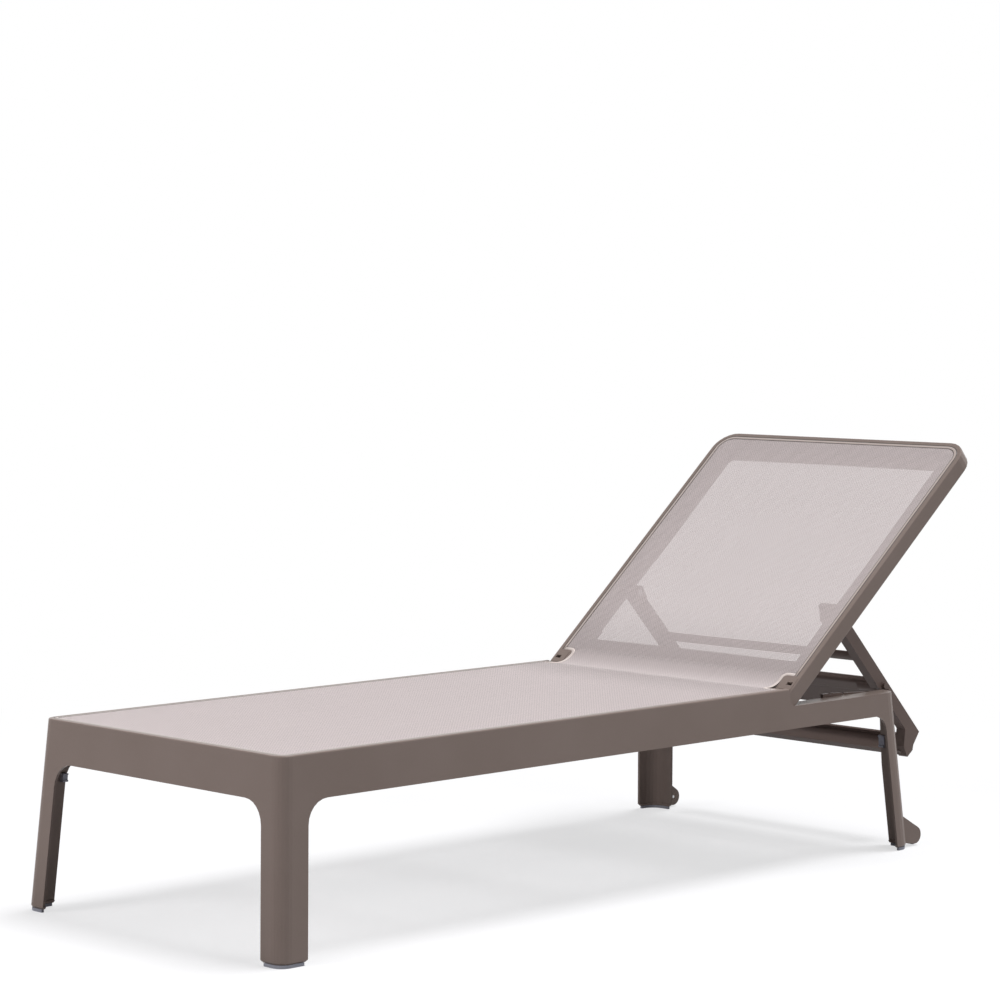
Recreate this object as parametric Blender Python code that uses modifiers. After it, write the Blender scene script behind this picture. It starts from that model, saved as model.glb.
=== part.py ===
"""Stackable sun lounger: a one-piece moulded seat frame on four flared corner legs, a moulded
backrest with a mesh sling, and a laddered prop that folds down into the backrest.

Metres. X runs across, +X being the near side; Y runs from the foot end (-Y) to the head end;
Z is up. The origin is on the floor under the middle of the lounger, seen with its back raised.
The backrest, the prop and their small pieces hang under empties on their hinge axes.
"""
import math

import bmesh
import bpy
from mathutils import Matrix, Vector

# Seat frame
frame_width = 0.6532
frame_length = 1.5663
rim_height = 0.3422
lean = 0.0727
apron_depth = 0.0756
foot_corner_radius = 0.0240
rear_corner_radius = 0.0340
inner_corner_radius = 0.0060
wall = 0.0050
skin = 0.0035
rim_round = 0.0025
rim_land = 0.0095
groove_width = 0.0034
groove_depth = 0.0070
cloth_drop = 0.0015
flange_width = 0.0380
inner_wall_depth = 0.0660
arc_steps = 6

# Legs, cut out of the walls by the arches
foot_leg_end_width = 0.0510
foot_leg_side_width = 0.0584
rear_leg_end_width = 0.0562
rear_passage_inset = 0.0431
rear_leg_side_width = 0.0466
arch_radius = 0.0440
rear_arch_radius = 0.0300
leg_chamfer = 0.0035
foot_rim = 0.0080
foot_rim_height = 0.0100
foot_cut = 0.0035
foot_cut_height = 0.0105

# Cross beams under the seat
beam_shares = (0.27, 0.52, 0.76)
beam_width = 0.0440
beam_depth = 0.0300
beam_drop = 0.0130
beam_bow = 0.0320
rear_beam_share = 0.8590
rear_beam_drop = 0.0430
rear_beam_bow = 0.0040

# Foot caps and stacking bumpers
cap_height = 0.0055
cap_inset = 0.0025
cap_end_inset = 0.0055
bumper_height = 0.0240
bumper_cheek = 0.0028
bumper_flange = 0.0018
bumper_flange_height = 0.0045
bumper_back_flange_height = 0.0040
rear_bumper_drop = 0.1352
rear_bumper_inset = 0.0456
rear_bumper_width = 0.0135
foot_bumper_drop = 0.1112
foot_bumper_height = 0.0150
foot_bumper_flange = 0.0030
foot_bumper_from = 0.0375
foot_bumper_long = 0.0110
foot_bumper_reach = 0.0080

# Backrest
back_thickness = 0.0322
back_length = 0.6950
back_side_play = 0.0021
back_flare = 0.0130
back_corner_radius = 0.0460
back_edge_round = 0.0022
side_rail = 0.0400
top_rail = 0.0500
back_inner_radius = 0.0120
rest_angle = math.radians(40.3)
pivot_from_foot = 1.2645
top_pocket_count = 7
low_pocket_count = 3
high_pocket_count = 5
rib = 0.0030

# Hinge
pin_radius = 0.0040
gap = 0.0003
arm_gap = 0.0006
cheek_outer = 0.0085
lug_width = 0.0160
lug_play = 0.0010
lug_radius = 0.0105
fork_length = 0.0260
stop_wall = 0.0220
fork_roof = 0.0118
pin_cover = 0.0022
pin_head = 0.0018
pin_head_radius = 0.0060
pin_neck_radius = 0.0039
cover_inset = 0.0051
cover_width = 0.0315
cover_start = 0.0020
cover_length = 0.0290
cover_height = 0.0024
cover_sink = 0.0020
cover_slot_inset = 0.0101
cover_slot_width = 0.0130
cover_slot_start = 0.0130
cover_slot = 0.0075
cross_rail_start = 0.0450
cross_rail_end = 0.0850
cross_rail_drop = 0.0120
groove_start = 0.0370

# Sling
cloth = 0.0009
hinge_notch_length = 0.0370
hinge_notch_width = 0.0430
crease_gap = 0.0125
spline_radius = 0.0014
spline_end_gap = 0.0015

# Prop
prop_from_pivot = 0.2270
prop_angle = math.radians(87.4)
prop_ratio = prop_angle / rest_angle
prop_pin_inset = 0.0286
prop_inset = 0.0476
leg_thick = 0.0220
leg_depth = 0.0260
head_width = 0.0340
boss_radius = 0.0142
boss_shift = 0.0140
boss_drop = 0.0050
head_overlap = 0.0088
head_arcs = (92, 200, 430)
upper_bar_at = 0.1325
upper_bar_long = 0.0240
upper_bar_thick = 0.0120
rest_bar_at = 0.2150
rest_bar_long = 0.0300
rest_bar_thick = 0.0180
rest_bar_wall = 0.0040
knob_radius = 0.0140
knob_length = 0.0350
rest_pin_radius = 0.0060
rest_pin_reach = 0.0037
apron_wall = 0.0040
rest_apron_end = 0.2900
foot_bar_tall = 0.0460
foot_bar_wall = 0.0040
foot_bar_lip = 0.0090
foot_bar_lift = 0.0010
toe_start = 0.3300
toe_end = 0.3790
toe_reach = 0.0455
toe_taper = 0.5500
toe_round = 0.0060
toe_notch = 0.0040
toe_tip = 0.0030
toe_shoulder = 0.0170

# Rest racks
rack_thick = 0.0062
rack_height = 0.0260
rack_from_pivot = 0.1255
rack_length = 0.2060
rack_window_drop = 0.0672
rack_screw_drop = 0.0502
rack_screw_shares = (0.22, 0.68)
highest_angle = math.radians(65)
notch_shares = (0.0, 0.3927, 0.7976, 1.0)
rack_path_shares = (0.0, 0.2, 0.6, 1.0)
notch_radius = 0.0072
notch_sink = 0.0030
rack_play = 0.0010
rack_relief = 0.0020
screw_radius = 0.0042
screw_head = 0.0020
screw_shank = 0.0020

# Wheels behind the rear legs
axle_behind = 0.0492
axle_height = 0.0215
outer_cheek_radius = 0.0170
inner_cheek_radius = 0.0180
wheel_radius = 0.0190
wheel_width = 0.0140
wheel_overhang = 0.0102
cheek_wall = 0.0034
wheel_round = 0.0015
cheek_top = 0.0640
cheek_foot = 0.0090
cheek_arc = (-90, 60)
axle_radius = 0.0030

overrun = 0.0500
short_overrun = 0.0100
weld_distance = 0.00002
nearly_round = 0.999
round_steps = 24

# Derived places
half_width = frame_width / 2
back_low_width = frame_width - 2 * back_side_play
back_top_width = back_low_width + back_flare
rear_passage = half_width - rear_passage_inset
rear_bumper_inner = half_width - rear_bumper_inset
rear_bumper_outer = rear_bumper_inner + rear_bumper_width
rear_bumper_middle = rim_height - rear_bumper_drop
foot_bumper_middle = rim_height - foot_bumper_drop
cover_outer = half_width - cover_inset
cover_inner = cover_outer - cover_width
cover_slot_outer = half_width - cover_slot_inset
cover_slot_inner = cover_slot_outer - cover_slot_width
prop_pin_outer = half_width - prop_pin_inset
leg_outer = half_width - prop_inset
head_inner = leg_outer - head_width
rack_start = pivot_from_foot + rack_from_pivot
rack_end = rack_start + rack_length
rack_window_foot = rim_height - rack_window_drop
rack_screw_height = rim_height - rack_screw_drop
wheel_outer = half_width + wheel_overhang
pivot_height = rim_height - back_thickness / 2
ledge_height = pivot_height - back_thickness / 2 - arm_gap
front_reach = lean * rim_height
rear_reach = (
    pivot_from_foot
    + back_length * math.cos(rest_angle)
    + back_thickness / 2 * math.sin(rest_angle)
)
foot_y = -(rear_reach - front_reach) / 2
pivot_y = foot_y + pivot_from_foot
rear_y = foot_y + frame_length
rail_inner = half_width - flange_width
fork_outer = half_width - cheek_outer
fork_inner = fork_outer - lug_width - 2 * lug_play
groove_end = rim_land + groove_width
step_radius = back_thickness / 2 + arm_gap
axle_y = rear_y + axle_behind
wheel_inner = wheel_outer - cheek_wall - wheel_width - 4 * gap
rack_inner = rail_inner - gap - rack_thick

for item in list(bpy.data.objects):
    bpy.data.objects.remove(item)


def collection(name):
    """A collection of the scene, for the parts or for what cuts them."""
    made = bpy.data.collections.new(name)
    bpy.context.scene.collection.children.link(made)
    return made


parts = collection("sun_lounger")
cutters = collection("cutters")


def material(name, colour, roughness, metallic=0.0):
    """A plain material, for the packed part."""
    made = bpy.data.materials.new(name)
    made.use_nodes = True
    shader = made.node_tree.nodes["Principled BSDF"]
    shader.inputs["Base Color"].default_value = (*colour, 1.0)
    shader.inputs["Roughness"].default_value = roughness
    shader.inputs["Metallic"].default_value = metallic
    return made


taupe = material("taupe_polypropylene", (0.205, 0.165, 0.148), 0.62)
mesh_cloth = material("pale_mesh", (0.620, 0.560, 0.540), 0.80)
rubber = material("blue_grey_rubber", (0.210, 0.235, 0.255), 0.75)
steel = material("zinc_steel", (0.560, 0.560, 0.570), 0.35, 1.0)
black = material("black_nylon", (0.030, 0.030, 0.032), 0.55)


def hinge_empty(name, place, turn, parent=None):
    """An empty on a hinge's axis, turned about X, which keeps its place under its parent."""
    made = bpy.data.objects.new(name, None)
    made.matrix_world = Matrix.Translation(place) @ Matrix.Rotation(turn, 4, "X")
    made.empty_display_size = back_thickness
    parts.objects.link(made)
    if parent:
        made.parent = parent
        made.matrix_parent_inverse = parent.matrix_world.inverted()
    return made


back_hinge = hinge_empty("backrest_hinge_axis", (0, pivot_y, pivot_height), rest_angle)
back_space = back_hinge.matrix_world.copy()
prop_space = back_space @ Matrix.Translation((0, prop_from_pivot, 0)) @ Matrix.Rotation(-prop_angle, 4, "X")
prop_hinge = hinge_empty(
    "prop_hinge_axis", prop_space.translation, rest_angle - prop_angle, back_hinge
)


def mesh_object(name, mesh, space=None):
    """An object with the mesh, its place put into the mesh through the given space."""
    made = bpy.data.objects.new(name, mesh)
    if space is not None:
        mesh.transform(space)
    cutters.objects.link(made)
    return made


def from_curve(name, curve, space):
    """A curve made a closed mesh, its loose caps welded."""
    holder = bpy.data.objects.new(name + "_outline", curve)
    cutters.objects.link(holder)
    graph = bpy.context.evaluated_depsgraph_get()
    mesh = bpy.data.meshes.new_from_object(holder.evaluated_get(graph))
    work = bmesh.new()
    work.from_mesh(mesh)
    bmesh.ops.remove_doubles(work, verts=work.verts, dist=weld_distance)
    bmesh.ops.recalc_face_normals(work, faces=work.faces)
    work.to_mesh(mesh)
    work.free()
    bpy.data.objects.remove(holder)
    return mesh_object(name, mesh, space)


def plate(name, outlines, thickness, space, edge=0.0):
    """Flat outlines in the space's XY plane, thickened both ways along its Z, edges rounded."""
    curve = bpy.data.curves.new(name, "CURVE")
    curve.dimensions = "2D"
    curve.fill_mode = "BOTH"
    curve.extrude = thickness / 2 - edge
    curve.bevel_depth = edge
    curve.bevel_resolution = 1
    curve.offset = -edge
    for outline in outlines:
        spline = curve.splines.new("POLY")
        spline.points.add(len(outline) - 1)
        for point, place in zip(spline.points, outline):
            point.co = (*place, 0, 1)
        spline.use_cyclic_u = True
    return from_curve(name, curve, space)


def tube(name, points, radius, space=None, closed=False, sides=2):
    """A round cord or bar along the points."""
    curve = bpy.data.curves.new(name, "CURVE")
    curve.dimensions = "3D"
    curve.bevel_depth = radius
    curve.bevel_resolution = sides
    curve.use_fill_caps = True
    spline = curve.splines.new("POLY")
    spline.points.add(len(points) - 1)
    for point, place in zip(spline.points, points):
        point.co = (*place, 1)
    spline.use_cyclic_u = closed
    return from_curve(name, curve, space)


def box(name, low, high, space=None):
    """A block between two corners of the space."""
    work = bmesh.new()
    bmesh.ops.create_cube(work, size=1.0)
    size = Vector(high) - Vector(low)
    middle = (Vector(high) + Vector(low)) / 2
    place = Matrix.Translation(middle) @ Matrix.Diagonal((*size, 1))
    bmesh.ops.transform(work, verts=work.verts, matrix=place)
    mesh = bpy.data.meshes.new(name)
    work.to_mesh(mesh)
    work.free()
    return mesh_object(name, mesh, space)


def rod(name, radius, start, end, centre, space=None, steps=round_steps):
    """A cylinder along X from start to end, about the (y, z) centre."""
    work = bmesh.new()
    bmesh.ops.create_cone(
        work, cap_ends=True, segments=steps, radius1=radius, radius2=radius, depth=abs(end - start)
    )
    turn = Matrix.Rotation(math.radians(90), 4, "Y")
    middle = Matrix.Translation(((start + end) / 2, *centre))
    bmesh.ops.transform(work, verts=work.verts, matrix=middle @ turn)
    mesh = bpy.data.meshes.new(name)
    work.to_mesh(mesh)
    work.free()
    return mesh_object(name, mesh, space)


def rounded(corners):
    """Outline through (x, y, radius) corners, each rounded by an arc that touches both sides."""
    outline = []
    count = len(corners)
    for number, (x, y, radius) in enumerate(corners):
        here = Vector((x, y))
        before = (Vector(corners[number - 1][:2]) - here).normalized()
        after = (Vector(corners[(number + 1) % count][:2]) - here).normalized()
        if radius == 0:
            outline.append((x, y))
            continue
        half = before.angle(after) / 2
        run = radius / math.tan(half)
        centre = here + (before + after).normalized() * radius / math.sin(half)
        first = here + before * run - centre
        last = here + after * run - centre
        sweep = first.angle_signed(last)
        steps = max(2, round(abs(sweep) / math.radians(90) * arc_steps))
        for step in range(steps + 1):
            turn = -sweep * step / steps
            outline.append(tuple(centre + Matrix.Rotation(turn, 2) @ first))
    return outline


def arc(x, y, radius, start, end):
    """Points round a centre from one angle to another, in degrees."""
    steps = arc_steps * 2
    turns = [math.radians(start + (end - start) * step / steps) for step in range(steps + 1)]
    return [(x + radius * math.cos(turn), y + radius * math.sin(turn)) for turn in turns]


def modify(body, other, operation):
    """One boolean of the body with another, which stays hidden."""
    made = body.modifiers.new(other.name, "BOOLEAN")
    made.operation = operation
    made.object = other
    other.hide_render = True
    other.display_type = "WIRE"


def cut(body, *others):
    """Take the others out of the body."""
    for other in others:
        modify(body, other, "DIFFERENCE")


def join(body, *others):
    """Weld the others onto the body."""
    for other in others:
        modify(body, other, "UNION")


def settle(body):
    """The body with its modifiers applied, so that it can serve as a cutter itself."""
    graph = bpy.context.evaluated_depsgraph_get()
    mesh = bpy.data.meshes.new_from_object(body.evaluated_get(graph))
    tools = [made.object for made in body.modifiers if made.type == "BOOLEAN"]
    body.modifiers.clear()
    body.data = mesh
    for tool in tools:
        bpy.data.objects.remove(tool)
    return body


def finish(body, look, empty=None, smooth=35):
    """Move a body to the parts, with its material, its origin on its hinge and smooth shading."""
    cutters.objects.unlink(body)
    parts.objects.link(body)
    if body.modifiers:
        settle(body)
    body.data.materials.clear()
    body.data.materials.append(look)
    for face in body.data.polygons:
        face.material_index = 0
    body.data.shade_smooth()
    body.data.set_sharp_from_angle(angle=math.radians(smooth))
    if empty:
        body.data.transform(empty.matrix_world.inverted())
        body.parent = empty
    return body


# Spaces for flat outlines: the first two letters are where the outline's x and y run
yz_space = Matrix(((0, 0, 1, 0), (1, 0, 0, 0), (0, 1, 0, 0), (0, 0, 0, 1)))
xz_space = Matrix(((1, 0, 0, 0), (0, 0, -1, 0), (0, 1, 0, 0), (0, 0, 0, 1)))
sides = (("left", -1), ("right", 1))


def rim_outline(inset, depth):
    """Plan of the frame's rim, moved inwards by the inset: a rectangle whose round corners are
    those of the outer face, less the depth behind that face."""
    foot = max(foot_corner_radius - depth, inner_corner_radius)
    rear = max(rear_corner_radius - depth, inner_corner_radius)
    x, low, high = half_width - inset, foot_y + inset, rear_y - inset
    return rounded([(-x, low, foot), (x, low, foot), (x, high, rear), (-x, high, rear)])


def ring(name, section):
    """A closed ring round the frame: the section's points carried along the rim."""
    loops = [
        [(x, y, height) for x, y in rim_outline(inset, depth)] for inset, height, depth in section
    ]
    count = len(loops[0])
    faces = []
    for row in range(len(loops)):
        for column in range(count):
            next_row = (row + 1) % len(loops)
            next_column = (column + 1) % count
            faces.append(
                (
                    row * count + column,
                    row * count + next_column,
                    next_row * count + next_column,
                    next_row * count + column,
                )
            )
    mesh = bpy.data.meshes.new(name)
    mesh.from_pydata([place for loop in loops for place in loop], [], faces)
    work = bmesh.new()
    work.from_mesh(mesh)
    bmesh.ops.recalc_face_normals(work, faces=work.faces)
    work.to_mesh(mesh)
    work.free()
    return mesh_object(name, mesh)


def leaning(depth, height):
    """A point of the ring's section, at a depth behind the outer face, which leans outwards."""
    return (depth - lean * (rim_height - height), height, depth)


def upright(inset, height):
    """A point of the ring's section on an upright line, at an inset from the rim's outer line."""
    return (inset, height, inset)


def frame_section():
    """Outer wall, rounded rim, spline groove, recessed flange and inner wall, in one outline."""
    floor = cap_height + gap
    points = [
        leaning(leg_chamfer, floor),
        leaning(0, floor + leg_chamfer),
        leaning(0, rim_height - rim_round),
    ]
    for step in (1, 2, 3):
        turn = math.radians(90) * step / 3
        drop = rim_round * (1 - math.sin(turn))
        points.append(upright(rim_round * (1 - math.cos(turn)), rim_height - drop))
    under = rim_height - cloth_drop - skin
    deep = rim_height - groove_depth - skin
    points += [
        upright(rim_land, rim_height),
        upright(rim_land, rim_height - groove_depth),
        upright(groove_end, rim_height - groove_depth),
        upright(groove_end, rim_height - cloth_drop),
        upright(flange_width, rim_height - cloth_drop),
        upright(flange_width, rim_height - inner_wall_depth),
        upright(flange_width - skin, rim_height - inner_wall_depth),
        upright(flange_width - skin, under),
        upright(groove_end + skin, under),
        upright(groove_end + skin, deep),
        leaning(wall, deep),
        leaning(wall, foot_rim_height),
        leaning(foot_rim, foot_rim_height),
        leaning(foot_rim, floor),
    ]
    return points


def leg_edge(side_width, height):
    """How far a leg's open edge stands from the rim line, leaning out with the leg."""
    return side_width - lean * (rim_height - height)


def leg_line(width, top):
    """A leg's open edge from the floor up to a height, as (inset, height): cut back at the foot."""
    low = cap_height + gap
    return [
        (leg_edge(width, low) - foot_cut, -overrun),
        (leg_edge(width, low) - foot_cut, low),
        (leg_edge(width, foot_cut_height), foot_cut_height),
        (leg_edge(width, top), top),
    ]


def side_arch():
    """The opening between the legs, seen from the side."""
    top = rim_height - apron_depth
    front = [(foot_y + inset, z, 0) for inset, z in leg_line(foot_leg_side_width, top)]
    rear = [(rear_y - inset, z, 0) for inset, z in leg_line(rear_leg_side_width, top)]
    front[-1] = (*front[-1][:2], arch_radius)
    rear[-1] = (*rear[-1][:2], rear_arch_radius)
    return rounded(rear + front[::-1])


def end_arch(leg_width, radius, top):
    """The opening between two legs, seen from the end."""
    right = [(half_width - inset, z, 0) for inset, z in leg_line(leg_width, top)]
    right[-1] = (*right[-1][:2], radius)
    return rounded(right + [(-x, z, size) for x, z, size in right[::-1]])


def rear_opening():
    """The open rear between the back legs, where the prop swings, seen from the end: wider at
    the top, where the rest racks come through."""
    high = rim_height + overrun
    wide = rail_inner + gap
    upright_from = rim_height - (rear_passage - half_width + rear_leg_end_width) / lean
    right = [(half_width - inset, z) for inset, z in leg_line(rear_leg_end_width, upright_from)[:-1]]
    right += [
        (rear_passage, upright_from),
        (rear_passage, rack_window_foot),
        (wide, rack_window_foot),
        (wide, high),
    ]
    return right + [(-x, z) for x, z in right[::-1]]


def beam(name, share, drop, bow):
    """A bowed channel between the rails: its top dips in the middle, clear of the sagging mesh."""
    middle = foot_y + share * frame_length
    reach = rail_inner + skin / 2
    top, bottom = [], []
    for step in range(arc_steps * 2 + 1):
        across = -1 + step / arc_steps
        fall = drop + bow * (1 - across**2)
        top.append((across * reach, rim_height - fall))
        bottom.append((across * reach, rim_height - fall - beam_depth))
    body = plate(name, [top + bottom[::-1]], beam_width, Matrix.Translation((0, middle, 0)) @ xz_space)
    hollow_top = [(x * (1 - skin / reach), z - skin) for x, z in top]
    hollow_low = [(x, z - beam_depth - overrun) for x, z in hollow_top]
    hollow = plate(
        name + "_hollow",
        [hollow_top + hollow_low[::-1]],
        beam_width - 2 * skin,
        Matrix.Translation((0, middle, 0)) @ xz_space,
    )
    cut(body, hollow)
    return settle(body)


def cheek_root(x, height):
    """The middle of the rear wall, as (y, z), at a place across: it draws in round the corner."""
    inset = leaning(wall / 2, height)[0]
    radius = rear_corner_radius - wall / 2
    across = max(0, abs(x) - half_width + inset + radius)
    return rear_y - inset - radius + math.sqrt(radius**2 - across**2), height


def wheel_cheek(name, x_low, x_high, radius):
    """A lug behind the rear leg that carries the axle, rounded about it, from inside the wall."""
    outline = [cheek_root((x_low + x_high) / 2, cheek_foot)]
    outline += arc(axle_y, axle_height, radius, *cheek_arc)
    outline.append(cheek_root((x_low + x_high) / 2, cheek_top))
    middle = Matrix.Translation(((x_low + x_high) / 2, 0, 0))
    return plate(name, [outline], abs(x_high - x_low), middle @ yz_space)


def seat_frame():
    """The seat's one moulding: rim ring, lower rear ledges, arches, beams, hinge lugs, wheel cheeks."""
    body = ring("seat_frame", frame_section())
    ledge = ring(
        "ledge_ring",
        [
            leaning(wall / 2, ledge_height - skin),
            leaning(wall / 2, ledge_height + skin),
            upright(flange_width - skin / 2, ledge_height + skin),
            upright(flange_width - skin / 2, ledge_height - skin),
        ],
    )
    keep = box(
        "ledge_keep",
        (-half_width, foot_y - overrun, 0),
        (half_width, pivot_y - stop_wall, rim_height),
    )
    cut(ledge, keep)
    blocks = []
    for name, side in sides:
        for level, outer, inner, top in (
            ("low", wall / 2, flange_width - skin / 2, rim_height - groove_depth - skin / 2),
            ("high", groove_end + skin / 2, flange_width - skin / 3, rim_height - cloth_drop - skin / 2),
        ):
            ends = sorted((side * (half_width - outer), side * (half_width - inner)))
            blocks.append(
                box(
                    "stop_block_%s_%s" % (level, name),
                    (ends[0], pivot_y - back_thickness / 2 - stop_wall, ledge_height - skin / 2),
                    (ends[1], pivot_y, top),
                )
            )
    join(body, settle(ledge), *blocks)
    high = rim_height + overrun
    notch = [(pivot_y - step_radius, high)] + arc(pivot_y, pivot_height, step_radius, 180, 270)
    notch += [(rear_y + overrun, ledge_height), (rear_y + overrun, high)]
    wide = frame_width + 2 * overrun
    cut(
        body,
        plate("rear_step", [notch], wide, yz_space),
        plate("side_arches", [side_arch()], wide, yz_space),
    )
    for name, low, high_y, outline in (
        ("foot", foot_y - overrun, foot_y + wall + short_overrun,
         end_arch(foot_leg_end_width, arch_radius, rim_height - apron_depth)),
        ("rear", rear_y - flange_width - overrun, rear_y + overrun,
         rear_opening()),
    ):
        place = Matrix.Translation((0, (low + high_y) / 2, 0)) @ xz_space
        cut(body, plate(name + "_arch", [outline], high_y - low, place))
    beams = []
    for number, share in enumerate(beam_shares):
        beams.append(beam("beam_%d" % number, share, beam_drop, beam_bow))
    beams.append(beam("rear_beam", rear_beam_share, rear_beam_drop, rear_beam_bow))
    join(body, *beams)
    for name, side in sides:
        x_low, x_high = fork_inner + lug_play, fork_outer - lug_play
        lug = [(pivot_y + lug_radius, ledge_height - skin / 3), (pivot_y + lug_radius, pivot_height)]
        lug += arc(pivot_y, pivot_height, lug_radius, 0, 180)[1:]
        lug.append((pivot_y - lug_radius, ledge_height - skin / 3))
        middle = Matrix.Translation((side * (x_low + x_high) / 2, 0, 0))
        join(body, plate("hinge_lug_" + name, [lug], x_high - x_low, middle @ yz_space))
        for place, start, radius in (
            ("outer", wheel_outer, outer_cheek_radius),
            ("inner", wheel_inner, inner_cheek_radius),
        ):
            cheek = wheel_cheek(
                "wheel_cheek_%s_%s" % (place, name), side * (start - cheek_wall), side * start, radius
            )
            join(body, cheek)
        reach = side * (half_width + overrun)
        cut(
            body,
            rod("pin_bore_" + name, pin_radius + gap, side * rear_passage, reach, (pivot_y, pivot_height)),
            rod("axle_bore_" + name, axle_radius + gap, side * (wheel_inner - overrun),
                side * (wheel_outer - cheek_wall / 2), (axle_y, axle_height)),
        )
        for number, share in enumerate(rack_screw_shares):
            place = (rack_y(share), rack_screw_height)
            bore = rod("screw_bore_%s_%d" % (name, number), screw_shank + gap,
                       side * (rail_inner - short_overrun), side * (rail_inner + 2 * skin), place)
            cut(body, bore)
    return finish(body, taupe)


def rack_y(share):
    """The place along Y at a share of the rack's length."""
    return foot_y + rack_start + share * (rack_end - rack_start)


def pin_place(share):
    """Where the prop's rest pins are, in (y, z), at a share of the way from rest to the highest."""
    turn = rest_angle + share * (highest_angle - rest_angle)
    prop_turn = turn - prop_angle - prop_ratio * (turn - rest_angle)
    y = pivot_y + prop_from_pivot * math.cos(turn) + rest_bar_at * math.cos(prop_turn)
    z = pivot_height + prop_from_pivot * math.sin(turn) + rest_bar_at * math.sin(prop_turn)
    return y, z


def rack_top(from_foot):
    """Height of the rack's tooth tops, just under the path of the rest pins."""
    y = foot_y + from_foot
    path = [pin_place(share) for share in rack_path_shares]
    nearest = min(path, key=lambda place: abs(place[0] - y))
    return nearest[1] - rest_pin_radius - rack_play


def rest_rack(name, side):
    """A toothed strip along the rail that the prop's rest pins drop into."""
    low, high = foot_y + rack_start, foot_y + rack_end
    path = [pin_place(share) for share in rack_path_shares]
    top = sorted((y, z - rest_pin_radius - rack_play) for y, z in path if low < y < high)
    foot = top[-1][1] - rack_height
    outline = [(low, foot), (high, foot), (high, top[-1][1])] + top[::-1] + [(low, top[0][1])]
    across = side * (rack_inner + rack_thick / 2)
    body = plate("rest_rack_" + name, [outline], rack_thick, Matrix.Translation((across, 0, 0)) @ yz_space)
    for number, share in enumerate(notch_shares):
        y, z = pin_place(share)
        place = (y, z - notch_sink)
        notch = rod("notch_%s_%d" % (name, number), notch_radius, side * (rack_inner - rack_thick),
                    side * rail_inner, place)
        cut(body, notch)
    for number, share in enumerate(rack_screw_shares):
        place = (rack_y(share), rack_screw_height)
        for size, start, end in (
            (screw_radius, rack_inner - rack_thick, rack_inner + screw_head),
            (screw_shank, rack_inner, rail_inner),
        ):
            cut(body, rod("screw_seat", size + gap, side * start, side * end, place))
        screw = rod("rack_screw_%d_%s" % (number + 1, name), screw_shank,
                    side * (rack_inner + screw_head / 2), side * (rail_inner + skin), place)
        head = rod("screw_head", screw_radius, side * rack_inner,
                   side * (rack_inner + screw_head - gap), place)
        join(screw, head)
        finish(screw, steel)
    return finish(body, black)


def back_width(along):
    """Half the back's width at a distance from the hinge: it widens to the top."""
    return (back_low_width + (back_top_width - back_low_width) * along / back_length) / 2


def back_outline(inset, low, top_inset=None, radius=None):
    """Plan of the back in its own plane, moved inwards, from a low edge to the rounded top."""
    high = back_length - (inset if top_inset is None else top_inset)
    corner = max(back_corner_radius - inset, back_inner_radius) if radius is None else radius
    x_low, x_high = back_width(low) - inset, back_width(high) - inset
    return rounded([(-x_low, low, 0), (x_low, low, 0), (x_high, high, corner), (-x_high, high, corner)])


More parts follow.
